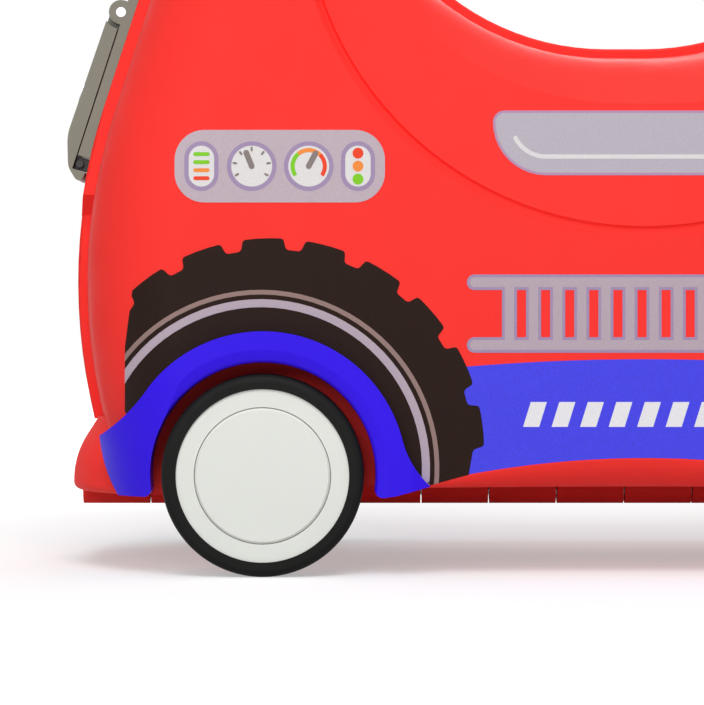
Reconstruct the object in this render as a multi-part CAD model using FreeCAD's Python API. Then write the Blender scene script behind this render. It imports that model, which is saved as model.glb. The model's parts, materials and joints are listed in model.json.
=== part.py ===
import FreeCAD, Part
import math
import os

# Ride-on suitcase: two hinged half shells on four wheels, dressed as a fire engine.
# X runs along the length with the front at -X, Z is up, and Y = 0 is the parting plane.
# Every half is modelled on the left, at -Y, and mirrored for the right.

V = FreeCAD.Vector

# Cuts run past the faces they open by this much
overrun = 5.0

# Shell
half_width = 96.0
wall = 2.8
parting_gap = 0.4
draft_deg = 6.0
floor_z = 34.0
toe_x = 211.6
nose_overhang = 19.8
nose_x = toe_x + nose_overhang
nose_z = 127.0
nose_round = 230.0
nose_lean = 63.6
hump_x = nose_x - nose_lean
hump_z = 322.9
hump_round = 44.0
edge_less = 6.0
edge_round = hump_round - edge_less
saddle_run = 114.9
saddle_drop = 114.9
seat_bend_share = 2.0484
seat_x = hump_x - saddle_run
seat_z = hump_z - saddle_drop
seat_round = seat_bend_share * seat_x

# Leg recess beside the seat
recess_radius = 135.0
recess_z = 266.0
recess_step = 0.6
recess_tilt_deg = 5.0
recess_groove = 1.2

# Rounded sill between the wheels
sill_round = 11.0
sill_inset_share = 0.34
sill_least = 0.4
sill_stations = 8
sill_clear = 59.5

# Raised rim where the halves meet, wider under the latches
rim_width = 8.0
rim_proud = 3.0
rim_round = 1.2
rim_foot = 24.0
rim_foot_z = floor_z + rim_foot
pad_margin = 1.5
pad_end = 4.0

# Seal tongue inside the rim
seal_thickness = 2.0
seal_tongue = 3.0
seal_clearance = 0.6

# Hinge along the bottom
hinge_overhang = 13.4
hinge_length = 2 * (toe_x + hinge_overhang)
hinge_drop = 6.0
hinge_z = floor_z - hinge_drop
knuckle_count = 16
knuckle_clearance = 0.5
knuckle_radius = hinge_drop - knuckle_clearance
knuckle_gap = 0.6
hinge_pin_radius = 2.0
rail_width = 13.0
rail_clearance = 0.5
running_clearance = 0.05

# Wheels and axles
axle_set_back = 64.1
axle_x = toe_x - axle_set_back
wheel_radius = 39.0
tyre_depth = 5.7
tyre_width = 21.0
tyre_shoulder = 3.0
wheel_proud = 7.0
wheel_face = half_width + wheel_proud
hub_inset = 0.6
hub_rim = 3.2
hub_web = 3.0
hub_boss_radius = 9.0
hub_web_inset = 11.0
cap_inset = 7.2
cap_radius = wheel_radius - tyre_depth - cap_inset
cap_seam = 0.25
cap_thickness = 2.5
cap_skirt = 2.0
cap_edge = 0.8
axle_radius = 4.0
axle_boss_length = 15.0
axle_tip = 2.6
clip_radius = 8.0
clip_thickness = 1.6
thrust_gap = 0.4

# Wheel wells and the arches around them
well_gap = 4.0
arch_clearance = 4.5
arch_inner = wheel_radius + arch_clearance
arch_band = 12.0
arch_sleeve = 2.5
arch_fit = 0.2
arch_proud = 7.0
arch_depth = 18.0
arch_edge = 1.8
arch_lip_drop = 1.4
arch_crest = 5.0
arch_tail = 24.0
arch_tail_drop = 4.2
arch_foot_drop = 8.5
arch_foot_round = 4.0
arch_toe = 1.4
arch_toe_bow = 1.7
arch_wrap = 20.0
arch_root_y = half_width - arch_wrap
rear_tip_shares = (1.162, -0.076)
rear_flare_shares = (1.034, 0.086)
rear_start_shares = (0.973, 0.231)
rear_heel_shares = (0.93, -0.14)
front_tip_shares = (-1.164, 0.262)
front_flare_shares = (-0.995, 0.385)
front_start_shares = (-0.829, 0.559)

# Screws that hold the arches, driven from inside
screw_radius = 1.4
screw_head_radius = 3.0
screw_head = 2.0
screw_bite = 5.0
screw_inset = 8.9
screw_circle = arch_inner + screw_inset
screw_angles_deg = (62.0, 118.0)

# Bumpers
bumper_proud = 14.7
bumper_reach = toe_x + bumper_proud
bumper_drop = 3.6
bumper_bottom_z = floor_z - bumper_drop
bumper_bend = 10.0
bumper_bend_z = floor_z + bumper_bend
bumper_bend_round = 34.0
bumper_lip_round = 3.0
bumper_top = 26.0
bumper_top_z = floor_z + bumper_top
bumper_top_proud = 4.4
bumper_top_x = toe_x + bumper_top_proud
bumper_root = 22.4
bumper_root_x = toe_x - bumper_root
bumper_corner = 70.0
bumper_corner_x = bumper_reach - bumper_corner
bumper_side_proud = 0.5
bumper_corner_y = half_width + bumper_side_proud - bumper_corner

# Latches, in a frame on the nose: u runs up the slope and v stands out from it
latch_rise = 39.0
latch_z = nose_z + latch_rise
latch_width = 30.0
lever_tab_u = -9.5
lever_tab_v = 2.2
lever_toe_u = -12.5
lever_toe_v = 3.6
lever_toe_round = 1.8
lever_chin_u = -7.5
lever_chin_v = 9.5
lever_chin_round = 8.0
lever_brow_u = 5.0
lever_brow_v = 13.9
lever_brow_round = 20.0
lever_inner_u = -7.5
lever_inner_v = 7.7
latch_pin_u = 60.0
latch_pin_v = 8.5
latch_pin_radius = 2.0
lever_knuckle = 4.5
lever_relief = 2.0
latch_base_u = -1.5
latch_base_plate = 7.2
latch_base_depth = 6.0
latch_ear = 4.0
latch_ear_radius = 5.0
latch_side_gap = 0.6
striker_u = -4.8
striker_v = 5.4
striker_radius = 1.5
striker_setback = 3.0
striker_gap = 0.3
striker_lid_gap = 1.0

# Lock barrel in the front lever
barrel_u = 24.0
barrel_radius = 6.0
barrel_proud = 1.2
barrel_depth = 4.5
key_slot_width = 1.4
key_slot_length = 7.0
key_slot_depth = 3.0

# Tow eye above each latch base
eye_u = 80.0
eye_radius = 7.5
eye_hole_radius = 3.5
eye_clear = 0.6
eye_v = latch_base_plate + eye_hole_radius + eye_clear
eye_width = 8.0

# Grips on the front hump
grip_behind = 37.6
grip_x = hump_x - grip_behind
grip_inset = 34.0
grip_y = half_width - grip_inset
grip_below = 68.0
grip_z = hump_z - grip_below
grip_lean_deg = 32.0
grip_length = 52.0
grip_root_radius = 9.5
grip_waist_radius = 8.5
grip_knob_radius = 11.0
grip_rib_count = 5
grip_rib = 0.9

# Packing strap and buckle inside the left half
strap_inset = 55.5
strap_half_length = axle_x - strap_inset
strap_width = 25.0
strap_thickness = 1.4
strap_below = 27.0
strap_z = recess_z - recess_radius - strap_below
strap_gap = 0.5
buckle_length = 46.0
buckle_width = 32.0
buckle_thickness = 8.0
buckle_round = 3.0
buckle_prong = 3.5
anchor_length = 16.0
anchor_height = 34.0
anchor_thickness = 6.0
anchor_round = 2.0


def place(x, z, y=0.0):
    return V(x, y, z)


def shifted(points, grow, lean=0.0):
    """The outline's corners when every edge moves out by grow, and all but the floor's edge in by lean.

    The floor's edge comes first, and the corners turn anticlockwise.
    """
    lines = []
    out = grow
    for (x0, z0, _), (x1, z1, _) in zip(points, points[1:] + points[:1]):
        length = math.hypot(x1 - x0, z1 - z0)
        ux, uz = (x1 - x0) / length, (z1 - z0) / length
        lines.append((x0 + uz * out, z0 - ux * out, ux, uz))
        out = grow - lean
    result = []
    for index, (_, _, radius) in enumerate(points):
        ax, az, adx, adz = lines[index - 1]
        bx, bz, bdx, bdz = lines[index]
        turn = adx * bdz - adz * bdx
        along = ((bx - ax) * bdz - (bz - az) * bdx) / turn
        side = out if turn > 0 else -out
        new_radius = radius + side if radius else radius
        result.append((ax + adx * along, az + adz * along, new_radius))
    return result


def rounded_wire(points, y=0.0, map_point=place):
    """A wire that joins the points (x, z, radius) by lines and tangent arcs."""
    pieces = []
    count = len(points)
    for index in range(count):
        x, z, radius = points[index]
        px, pz, _ = points[index - 1]
        nx, nz, _ = points[(index + 1) % count]
        back = math.hypot(px - x, pz - z)
        ahead = math.hypot(nx - x, nz - z)
        bx, bz = (px - x) / back, (pz - z) / back
        ax, az = (nx - x) / ahead, (nz - z) / ahead
        if not radius:
            pieces.append((map_point(x, z, y),))
            continue
        half_turn = (math.pi - math.acos(max(-1.0, min(1.0, bx * ax + bz * az)))) / 2
        tangent = radius * math.tan(half_turn)
        inset = radius / math.cos(half_turn) - radius
        mx, mz = bx + ax, bz + az
        size = math.hypot(mx, mz)
        start = map_point(x + bx * tangent, z + bz * tangent, y)
        middle = map_point(x + mx / size * inset, z + mz / size * inset, y)
        end = map_point(x + ax * tangent, z + az * tangent, y)
        pieces.append((start, middle, end))
    edges = []
    for index, piece in enumerate(pieces):
        if len(piece) > 1:
            edges.append(Part.Arc(*piece).toShape())
        following = pieces[(index + 1) % count][0]
        edges.append(Part.LineSegment(piece[-1], following).toShape())
    return Part.Wire(edges)


def rounded_face(points, y=0.0, map_point=place):
    return Part.Face(rounded_wire(points, y, map_point))


def across(face, depth):
    return face.extrude(V(0, depth, 0))


def rod_y(x, z, radius, y0, y1):
    return Part.makeCylinder(radius, y1 - y0, V(x, y0, z), V(0, 1, 0))


def rod_x(y, z, radius, x0, x1):
    return Part.makeCylinder(radius, x1 - x0, V(x0, y, z), V(1, 0, 0))


def block(x0, x1, y0, y1, z0, z1):
    return Part.makeBox(x1 - x0, y1 - y0, z1 - z0, V(x0, y0, z0))


def turned(profile, x, z):
    """A solid of revolution about the wheel axis from (radius, y) corners."""
    corners = [V(x + radius, y, z) for radius, y in profile]
    face = Part.Face(Part.makePolygon(corners + corners[:1]))
    return face.revolve(V(x, 0, z), V(0, 1, 0), 360)


def mirrored(shape):
    return shape.mirror(V(0, 0, 0), V(0, 1, 0))


def to_rear(shape):
    return shape.mirror(V(0, 0, 0), V(1, 0, 0))


def outline():
    """Side view of the case, anticlockwise from the front toe."""
    rear = [(nose_x, nose_z, nose_round), (hump_x, hump_z, hump_round), (seat_x, seat_z, seat_round)]
    front = [(-x, z, radius) for x, z, radius in reversed(rear)]
    return [(-toe_x, floor_z, 0.0), (toe_x, floor_z, 0.0)] + rear + front


def leg_recess(grow):
    """What the leg recess takes off a body grown by this much."""
    side = -(half_width + grow) + recess_step
    low = recess_z - recess_radius
    height = 2 * recess_radius
    slab = block(-recess_radius, recess_radius, -half_width, 0, -recess_radius, height)
    slab.rotate(V(0, 0, 0), V(1, 0, 0), -recess_tilt_deg)
    slab.translate(V(0, side, low))
    drum = rod_y(0, recess_z, recess_radius - grow, -2 * half_width, 0)
    return slab.common(drum)


def crease():
    """Fine groove in the floor of the leg recess, along its edge."""
    tilt = math.radians(recess_tilt_deg)
    centre = V(0, -half_width + recess_step + recess_radius * math.tan(tilt), recess_z)
    axis = V(0, math.cos(tilt), -math.sin(tilt))
    return Part.makeTorus(recess_radius - 2 * recess_groove, recess_groove, centre, axis)


def body(grow, start):
    """The left half's outer form grown by this much, tapered from y = start out to its side."""
    side = -(half_width + grow)
    lean = math.tan(math.radians(draft_deg)) * (start - side)
    wires = [rounded_wire(shifted(outline(), grow), start)]
    wires.append(rounded_wire(shifted(outline(), grow, lean), side))
    solid = Part.makeLoft(wires, True, True)
    low = floor_z - grow
    rounded = []
    for edge in solid.Edges:
        box = edge.BoundBox
        on_side = abs(box.YMin - side) < overrun and abs(box.YMax - side) < overrun
        if on_side and box.ZMax > low + overrun:
            rounded.append(edge)
    solid = solid.makeFillet(edge_round + grow, rounded)
    return solid.cut(leg_recess(grow))


def sill_cutter():
    """The corner taken off the lower side edge, widest at mid length."""
    wires = []
    side = -half_width
    for station in range(-sill_stations // 2, sill_stations // 2 + 1):
        share = 2 * station / sill_stations
        x = share * sill_half
        r = sill_least + (sill_round - sill_least) * (1 - share * share)
        inset = r * sill_inset_share
        top = V(x, side, floor_z + r)
        middle = V(x, side + inset, floor_z + inset)
        low = V(x, side + r, floor_z)
        under = V(x, side + r, floor_z - overrun)
        corner = V(x, side - overrun, floor_z - overrun)
        out = V(x, side - overrun, floor_z + r)
        edges = [Part.Arc(top, middle, low).toShape()]
        for start, end in ((low, under), (under, corner), (corner, out), (out, top)):
            edges.append(Part.LineSegment(start, end).toShape())
        wires.append(Part.Wire(edges))
    return Part.makeLoft(wires, True, False)


sill_half = axle_x - sill_clear
wheel_inner = wheel_face - tyre_width
well_floor = wheel_inner - well_gap
well_radius = arch_inner + arch_sleeve + arch_fit
wheel_z = wheel_radius
rim_y = -parting_gap / 2
pitch = hinge_length / knuckle_count


def wells(extra, depth):
    """Wheel pockets of a half, with a wall's thickness added where extra asks for it."""
    pockets = []
    for x in (-axle_x, axle_x):
        pockets.append(rod_y(x, wheel_z, well_radius + extra, -half_width - overrun, -depth))
    return pockets[0].fuse(pockets[1])


def cavity():
    """The room inside a half, around the wheel pockets and clear of the rounded sill."""
    room = body(-wall, 0.0)
    room = room.cut(wells(wall, well_floor - wall))
    leg = sill_round + wall
    corner = [V(-toe_x, -half_width, floor_z), V(-toe_x, -half_width + leg, floor_z)]
    corner.append(V(-toe_x, -half_width, floor_z + leg))
    wedge = Part.Face(Part.makePolygon(corner + corner[:1])).extrude(V(2 * toe_x, 0, 0))
    return room.cut(wedge)


def rim_plate(width):
    """Plate of the rim's outline and of this width, rounded along its outer edge."""
    plate = across(rounded_face(shifted(outline(), rim_proud), rim_y), rim_y - width)
    outer = []
    for edge in plate.Edges:
        if edge.BoundBox.YMax < -width + rim_round and edge.BoundBox.ZMax > rim_foot_z:
            outer.append(edge)
    return plate.makeFillet(rim_round, outer)


def latch_room(width):
    """The stretches at both ends where the rim is this wide, with sloping ends."""
    low = latch_z + (lever_toe_u - pad_end) * up_z
    high = latch_z + (eye_u + eye_radius + pad_end) * up_z
    slope = width - rim_width
    profile = [(0, low - slope), (-rim_width, low - slope), (-width, low), (-width - overrun, low)]
    profile += [(-width - overrun, high), (-width, high), (-rim_width, high + slope), (0, high + slope)]
    corners = [V(-nose_x - overrun, y, z) for y, z in profile]
    face = Part.Face(Part.makePolygon(corners + corners[:1]))
    front = face.extrude(V(nose_x + overrun - hump_x, 0, 0))
    return front.fuse(to_rear(front))


def rim():
    """Raised rim of a half, widened to a pad under each latch."""
    wide = latch_half + pad_margin
    plate = rim_plate(rim_width).fuse(rim_plate(wide).common(latch_room(wide)))
    return plate.cut(block(-nose_x, nose_x, -half_width, 0, 0, rim_foot_z)).removeSplitter()


def knuckles(first):
    """Every second hinge knuckle, from the first one given, with the web that joins it to its half."""
    pieces = []
    for index in range(first, knuckle_count, 2):
        x0 = -hinge_length / 2 + index * pitch + knuckle_gap / 2
        x1 = x0 + pitch - knuckle_gap
        pieces.append(rod_x(0, hinge_z, knuckle_radius, x0, x1))
        pieces.append(block(x0, x1, -knuckle_radius, rim_y, hinge_z, floor_z + wall))
    return pieces


def axle_bosses():
    pieces = []
    for x in (-axle_x, axle_x):
        inner = -well_floor + wall + axle_boss_length
        pieces.append(rod_y(x, wheel_z, hub_boss_radius, -wheel_inner + thrust_gap, inner))
    return pieces


def screw_places():
    """Screw axes (x, z) for both arches of a half."""
    places = []
    for x in (-axle_x, axle_x):
        for angle in screw_angles_deg:
            across_x = screw_circle * math.cos(math.radians(angle))
            up_z = screw_circle * math.sin(math.radians(angle))
            places.append((x + across_x, wheel_z + up_z))
    return places


def shell(first_knuckle, pin_clearance):
    """One half shell on the left, with its hinge knuckles, rim and axle bosses."""
    solid = body(0.0, rim_y).fuse(rim())
    rail = block(-hinge_length / 2, hinge_length / 2, -rail_width, rim_y, floor_z, floor_z + wall)
    solid = solid.fuse(rail)
    solid = solid.cut(sill_cutter())
    solid = solid.cut(crease())
    solid = solid.cut(cavity())
    solid = solid.cut(wells(0.0, well_floor))
    solid = solid.multiFuse(knuckles(first_knuckle) + axle_bosses())
    half = hinge_length / 2 + overrun
    cuts = [rod_x(0, hinge_z, hinge_pin_radius + pin_clearance, -half, half)]
    for x in (-axle_x, axle_x):
        cuts.append(rod_y(x, wheel_z, axle_radius, -wheel_face, 0))
    for x, z in screw_places():
        cuts.append(rod_y(x, z, screw_radius, -half_width - overrun, -half_width + wall + overrun))
    return solid.cut(cuts).removeSplitter()


def rim_seal():
    """Soft band in the left rim whose tongue reaches into the right half."""
    outer = across(rounded_face(shifted(outline(), -wall), -rim_width), rim_width + rim_y)
    outer = outer.common(body(-wall, 0.0))
    inset = wall + seal_clearance
    tongue = across(rounded_face(shifted(outline(), -inset), rim_y), seal_tongue - rim_y)
    band = outer.fuse(tongue)
    inner = rounded_face(shifted(outline(), -inset - seal_thickness), -rim_width - overrun)
    hollow = across(inner, rim_width + seal_tongue + 2 * overrun)
    band = band.cut(hollow)
    return band.cut(block(-nose_x, nose_x, -half_width, half_width, 0, rim_foot_z)).removeSplitter()


def hinge_pin():
    return rod_x(0, hinge_z, hinge_pin_radius, -hinge_length / 2, hinge_length / 2)


def axle(x):
    """Stub axle pressed into its boss."""
    tip = -wheel_face + hub_inset + cap_thickness + axle_tip / 2
    return rod_y(x, wheel_z, axle_radius, tip, -well_floor + wall + axle_boss_length)


hub_boss_end = wheel_face - cap_thickness - hub_inset - axle_tip - clip_thickness - thrust_gap


def axle_clips():
    clips = []
    for x in (-axle_x, axle_x):
        inner = -hub_boss_end - thrust_gap
        disc = rod_y(x, wheel_z, clip_radius, inner - clip_thickness, inner)
        clips.append(disc.cut(rod_y(x, wheel_z, axle_radius, -wheel_face, 0)))
    return Part.makeCompound(clips)


def tyre(x):
    inner = wheel_radius - tyre_depth
    ring = turned([(inner, -wheel_face), (wheel_radius, -wheel_face),
                   (wheel_radius, -wheel_inner), (inner, -wheel_inner)], x, wheel_z)
    shoulders = []
    for edge in ring.Edges:
        if hasattr(edge.Curve, "Radius") and abs(edge.Curve.Radius - wheel_radius) < tyre_shoulder:
            if len(edge.Vertexes) == 1:
                shoulders.append(edge)
    return ring.makeFillet(tyre_shoulder, shoulders)


def hub(x):
    outer = wheel_radius - tyre_depth
    bore = axle_radius + running_clearance
    face = -wheel_face + hub_inset
    mouth = cap_radius + cap_seam
    inside = outer - hub_rim
    web_out = -wheel_face + hub_web_inset
    profile = [(bore, -hub_boss_end), (hub_boss_radius, -hub_boss_end), (hub_boss_radius, web_out)]
    profile += [(mouth, web_out), (mouth, face), (outer, face), (outer, -wheel_inner)]
    profile += [(inside, -wheel_inner), (inside, web_out + hub_web)]
    profile += [(hub_boss_radius, web_out + hub_web), (hub_boss_radius, -wheel_inner)]
    profile.append((bore, -wheel_inner))
    return turned(profile, x, wheel_z)


def hub_cap(x):
    face = -wheel_face + hub_inset / 2
    back = face + cap_thickness
    web_out = -wheel_face + hub_web_inset
    inner = cap_radius - cap_skirt
    profile = [(0, face), (cap_radius - cap_edge, face), (cap_radius, face + cap_edge)]
    profile += [(cap_radius, web_out), (inner, web_out), (inner, back), (0, back)]
    return turned(profile, x, wheel_z)


def arch_outline(x):
    """Side view of an arch, front to the left, as a closed wire about the axle."""
    outer = arch_inner + arch_band

    def at(shares):
        return V(x + shares[0] * outer, 0, wheel_z + shares[1] * outer)

    def inner_at(angle_deg):
        angle = math.radians(angle_deg)
        return V(x + arch_inner * math.cos(angle), 0, wheel_z + arch_inner * math.sin(angle))

    foot_z = wheel_z - arch_foot_drop
    heel_x = math.sqrt(arch_inner ** 2 - arch_foot_drop ** 2)
    top = V(x, 0, wheel_z + outer)
    heel_rear = V(x + heel_x + arch_foot_round, 0, foot_z)
    heel_front = V(x - heel_x - arch_foot_round, 0, foot_z)
    toe_front = V(x - outer - arch_toe, 0, foot_z)
    toe_bow = (toe_front + at(front_tip_shares)) * 0.5 - V(arch_toe_bow, 0, 0)
    rise_deg = math.degrees(math.asin((arch_foot_drop - arch_foot_round) / arch_inner))
    rear_in = inner_at(-rise_deg)
    front_in = inner_at(180 + rise_deg)
    ease = arch_foot_round * (1 - math.sqrt(0.5))
    rear_corner = V(x + heel_x + ease, 0, foot_z + ease)
    front_corner = V(x - heel_x - ease, 0, foot_z + ease)
    edges = [
        Part.Arc(at(front_start_shares), top, at(rear_start_shares)),
        Part.Arc(at(rear_start_shares), at(rear_flare_shares), at(rear_tip_shares)),
        Part.LineSegment(at(rear_tip_shares), at(rear_heel_shares)),
        Part.LineSegment(at(rear_heel_shares), heel_rear),
        Part.Arc(heel_rear, rear_corner, rear_in),
        Part.Arc(rear_in, inner_at(90), front_in),
        Part.Arc(front_in, front_corner, heel_front),
        Part.LineSegment(heel_front, toe_front),
        Part.Arc(toe_front, toe_bow, at(front_tip_shares)),
        Part.Arc(at(front_tip_shares), at(front_flare_shares), at(front_start_shares)),
    ]
    return Part.Wire([edge.toShape() for edge in edges])


def arch_skin(x):
    """Prism of the arch's side view through the side of the shell."""
    face = Part.Face(arch_outline(x))
    face.translate(V(0, -arch_root_y, 0))
    return across(face, arch_root_y - wheel_face - overrun)


def arch_crown(x):
    """Turned form that gives the arch its convex outer face, highest a little outside its inner edge."""
    face_y = -half_width - arch_proud
    lip = V(x + arch_inner, face_y + arch_lip_drop, wheel_z)
    crest = V(x + arch_inner + arch_crest, face_y, wheel_z)
    tail = V(x + arch_inner + arch_tail, face_y + arch_tail_drop, wheel_z)
    tail_root = V(tail.x, 0, wheel_z)
    lip_root = V(lip.x, 0, wheel_z)
    edges = [Part.Arc(lip, crest, tail)]
    for start, end in ((tail, tail_root), (tail_root, lip_root), (lip_root, lip)):
        edges.append(Part.LineSegment(start, end))
    face = Part.Face(Part.Wire([edge.toShape() for edge in edges]))
    return face.revolve(V(x, 0, wheel_z), V(0, 1, 0), 360)


def arch(x):
    """Arch that wraps the side and corner of the shell, with a sleeve into the wheel well."""
    outside = body(arch_proud, rim_y)
    cover = arch_skin(x).common(outside)
    cover = cover.cut(body(0.0, rim_y))
    sleeve_end = -half_width + arch_depth
    sleeve = rod_y(x, wheel_z, arch_inner + arch_sleeve, -half_width - arch_proud, sleeve_end)
    sleeve = sleeve.cut(rod_y(x, wheel_z, arch_inner, -wheel_face - overrun, 0))
    foot_z = wheel_z - arch_foot_drop + arch_foot_round
    sleeve = sleeve.common(block(x - wheel_face, x + wheel_face, -wheel_face, 0, foot_z, hump_z))
    sleeve = sleeve.common(outside)
    solid = cover.fuse(sleeve).common(arch_crown(x)).removeSplitter()
    lip_y = -half_width - arch_proud + arch_lip_drop
    rolled = []
    for edge in solid.Edges:
        box = edge.BoundBox
        on_lip = abs(box.YMin - lip_y) < arch_fit and abs(box.YMax - lip_y) < arch_fit
        if on_lip and box.ZLength > arch_edge:
            rolled.append(edge)
    return solid.makeFillet(arch_edge, rolled)


def screws():
    """Arch screws of a half, heads inside the shell."""
    pieces = []
    inside = -half_width + wall
    for x, z in screw_places():
        shank = rod_y(x, z, screw_radius, -half_width - screw_bite, inside)
        head = rod_y(x, z, screw_head_radius, inside, inside + screw_head)
        pieces.append(shank.fuse(head).removeSplitter())
    return Part.makeCompound(pieces)


def bumper():
    """Left half of the front bumper, wrapped round the corner as far as the arch."""
    points = [(-bumper_root_x, bumper_bottom_z, 0.0), (-bumper_root_x, bumper_top_z, 0.0)]
    points += [(-bumper_top_x, bumper_top_z, 0.0), (-bumper_reach, bumper_bend_z, bumper_bend_round)]
    points += [(-bumper_reach, bumper_bottom_z, bumper_lip_round)]
    face = rounded_face(points, -bumper_corner_y)
    front = across(face, bumper_corner_y + rim_y)
    corner = face.revolve(V(-bumper_corner_x, -bumper_corner_y, 0), V(0, 0, 1), 90)
    solid = front.fuse(corner)
    solid = solid.cut(body(0.0, rim_y)).cut(rim())
    solid = solid.cut(wells(0.0, well_floor))
    reach = rail_width + rail_clearance
    solid = solid.cut(block(-bumper_reach - overrun, 0, -reach, 0, 0, floor_z + wall + rail_clearance))
    toe = -axle_x - arch_inner - arch_band - arch_toe
    foot_z = wheel_z - arch_foot_drop
    solid = solid.cut(arch_skin(-axle_x))
    return solid.cut(block(toe, 0, -wheel_face - overrun, -arch_root_y, 0, foot_z))


slope_x = nose_x - hump_x
slope_z = hump_z - nose_z
slope_length = math.hypot(slope_x, slope_z)
up_x = slope_x / slope_length
up_z = slope_z / slope_length
latch_x = -nose_x + (latch_z - nose_z) * slope_x / slope_z


def on_nose(u, v, y=0.0):
    """A point of the latch frame: u up the front slope, v out from it."""
    return V(latch_x + u * up_x - v * up_z, y, latch_z + u * up_z + v * up_x)


def latch_prism(points, y0, y1):
    return across(rounded_face(points, y0, on_nose), y1 - y0)


def latch_rod(u, v, radius, y0, y1):
    return Part.makeCylinder(radius, y1 - y0, on_nose(u, v, y0), V(0, 1, 0))


latch_half = latch_width / 2
ear_out = -latch_half + latch_side_gap
ear_in = rim_y - latch_side_gap
knuckle_out = ear_out + latch_ear + latch_side_gap
knuckle_in = ear_in - latch_ear - latch_side_gap


lever_end_v = latch_pin_v + lever_knuckle
lever_slope = (lever_brow_v - lever_end_v) / (latch_pin_u - lever_brow_u)


def latch_lever(with_lock):
    """Curved lever, hinged at its top, whose lower end is the finger tab."""
    section = [(lever_tab_u, lever_tab_v, 0.0), (lever_toe_u, lever_toe_v, lever_toe_round)]
    section += [(lever_chin_u, lever_chin_v, lever_chin_round)]
    section += [(lever_brow_u, lever_brow_v, lever_brow_round), (latch_pin_u, lever_end_v, 0.0)]
    section += [(latch_pin_u, lever_inner_v, 0.0), (lever_inner_u, lever_inner_v, 0.0)]
    section += [(lever_inner_u, lever_tab_v, 0.0)]
    plate = latch_prism(section, -latch_half, latch_half)
    relief = latch_ear_radius + lever_relief
    side = latch_half + overrun
    plate = plate.cut(latch_rod(latch_pin_u, latch_pin_v, relief, -side, side))
    low = latch_pin_u - relief - lever_relief
    neck = [(low, lever_inner_v, 0.0), (latch_pin_u, lever_inner_v, 0.0)]
    neck += [(latch_pin_u, lever_end_v, 0.0), (low, lever_end_v, 0.0)]
    solid = plate.fuse(latch_prism(neck, knuckle_out, knuckle_in))
    solid = solid.fuse(latch_rod(latch_pin_u, latch_pin_v, lever_knuckle, knuckle_out, knuckle_in))
    bore = latch_pin_radius + running_clearance
    solid = solid.cut(latch_rod(latch_pin_u, latch_pin_v, bore, -side, side))
    if with_lock:
        solid = solid.cut(barrel_rod(barrel_radius + running_clearance, barrel_depth, overrun))
    return solid.removeSplitter()


def barrel_frame():
    """Foot of the lock barrel on the lever's outer face, and its outward direction."""
    foot = on_nose(barrel_u, lever_brow_v - lever_slope * (barrel_u - lever_brow_u))
    out = on_nose(lever_slope, 1.0) - on_nose(0.0, 0.0)
    return foot, out.normalize()


def barrel_rod(radius, under, over):
    foot, out = barrel_frame()
    return Part.makeCylinder(radius, under + over, foot - out * under, out)


def lock_barrel():
    """Round lock in the front lever, with a key slot."""
    foot, out = barrel_frame()
    solid = barrel_rod(barrel_radius, barrel_depth, barrel_proud)
    slot = block(-key_slot_length / 2, key_slot_length / 2, -key_slot_width / 2, key_slot_width / 2,
                 -key_slot_depth, overrun)
    slot.Placement = FreeCAD.Placement(foot + out * barrel_proud, FreeCAD.Rotation(V(0, 0, 1), out))
    return solid.cut(slot)


def latch_base():
    """Bracket on the left half: two ears for the lever's pin, and the tow eye above them."""
    high = eye_u + eye_radius
    sole = [(latch_base_u, -latch_base_depth, 0.0), (latch_base_u, latch_base_plate, 0.0)]
    sole += [(high, latch_base_plate, 0.0), (high, -latch_base_depth, 0.0)]
    solid = latch_prism(sole, ear_out, ear_in)
    relief = lever_knuckle + latch_side_gap
    outer = knuckle_out - latch_side_gap
    inner = knuckle_in + latch_side_gap
    solid = solid.cut(latch_rod(latch_pin_u, latch_pin_v, relief, outer, inner))
    for y0 in (ear_out, ear_in - latch_ear):
        y1 = y0 + latch_ear
        solid = solid.fuse(latch_rod(latch_pin_u, latch_pin_v, latch_ear_radius, y0, y1))
        foot = [(latch_pin_u - latch_ear_radius, 0.0, 0.0), (latch_pin_u + latch_ear_radius, 0.0, 0.0)]
        foot += [(latch_pin_u + latch_ear_radius, latch_pin_v, 0.0)]
        foot += [(latch_pin_u - latch_ear_radius, latch_pin_v, 0.0)]
        solid = solid.fuse(latch_prism(foot, y0, y1))
    eye_y = (ear_out + ear_in) / 2
    eye_out = eye_y - eye_width / 2
    eye_in = eye_y + eye_width / 2
    solid = solid.fuse(latch_rod(eye_u, eye_v, eye_radius, eye_out, eye_in))
    solid = solid.cut(latch_rod(eye_u, eye_v, eye_hole_radius, eye_out - overrun, eye_in + overrun))
    solid = solid.cut(latch_rod(latch_pin_u, latch_pin_v, latch_pin_radius, ear_out - overrun, ear_in))
    return solid.cut(body(0.0, rim_y)).cut(rim()).removeSplitter()


def latch_pin():
    return latch_rod(latch_pin_u, latch_pin_v, latch_pin_radius, ear_out, ear_in)


def striker(tab_gap):
    """Bar on a block that fills the lever's pocket down to this gap above the finger tab."""
    solid = latch_rod(striker_u, striker_v, striker_radius, ear_out, ear_in)
    low = lever_inner_u + tab_gap
    high = latch_base_u - striker_gap
    top = lever_inner_v - striker_gap
    rib = [(low, -latch_base_depth, 0.0), (high, -latch_base_depth, 0.0)]
    rib += [(high, top, 0.0), (low, top, 0.0)]
    solid = solid.fuse(latch_prism(rib, ear_out + striker_setback, ear_in))
    return solid.cut(body(0.0, rim_y)).cut(rim()).removeSplitter()


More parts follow.
